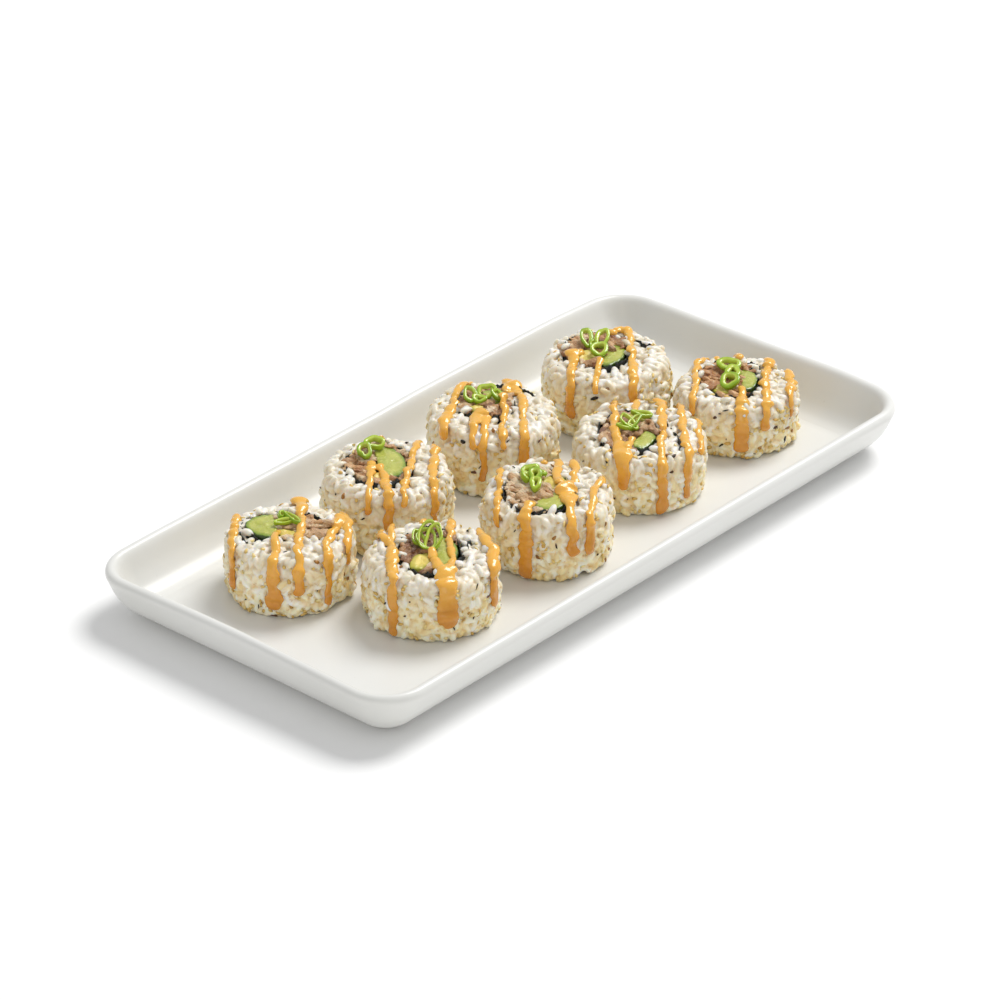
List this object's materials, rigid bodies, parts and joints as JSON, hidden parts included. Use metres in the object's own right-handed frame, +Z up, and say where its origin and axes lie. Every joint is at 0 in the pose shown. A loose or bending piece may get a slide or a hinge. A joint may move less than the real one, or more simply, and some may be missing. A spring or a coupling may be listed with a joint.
{
  "type": "maki sushi roll on a plate",
  "caption": "Inside-out maki rolls with nori, cucumber, avocado, cooked fish and spring onion, standing in two rows on a rectangular rimmed porcelain plate.",
  "frame": {"origin": "on the table, under the middle of the plate", "axes": "+Z up, +X along the plate's long side, +Y away from the front long side"},
  "size_m": [0.3, 0.1492, 0.039],
  "materials": {
    "porcelain": "clear glossy glaze over off-white porcelain",
    "rice": null,
    "nori": null,
    "cucumber": null,
    "avocado": null,
    "fish": null,
    "spring_onion": null,
    "sauce": null,
    "sesame": null
  },
  "bodies": {
    "root": {"plate": "porcelain", "rice_1": "rice", "nori_1": "nori", "cucumber_1": "cucumber", "avocado_1": "avocado", "fish_1": "fish", "onion_1": "spring_onion", "rice_2": "rice", "nori_2": "nori", "cucumber_2": "cucumber", "avocado_2": "avocado", "fish_2": "fish", "fish_2b": "fish", "onion_2": "spring_onion", "rice_3": "rice", "nori_3": "nori", "cucumber_3": "cucumber", "avocado_3": "avocado", "fish_3": "fish", "onion_3": "spring_onion", "rice_4": "rice", "nori_4": "nori", "cucumber_4": "cucumber", "avocado_4": "avocado", "fish_4": "fish", "onion_4": "spring_onion", "rice_5": "rice", "nori_5": "nori", "cucumber_5": "cucumber", "avocado_5": "avocado", "fish_5": "fish", "onion_5": "spring_onion", "rice_6": "rice", "nori_6": "nori", "cucumber_6": "cucumber", "avocado_6": "avocado", "fish_6": "fish", "onion_6": "spring_onion", "rice_7": "rice", "nori_7": "nori", "cucumber_7": "cucumber", "avocado_7": "avocado", "fish_7": "fish", "onion_7": "spring_onion", "rice_8": "rice", "nori_8": "nori", "cucumber_8": "cucumber", "avocado_8": "avocado", "fish_8": "fish", "onion_8": "spring_onion"}
  },
  "joints": []
}
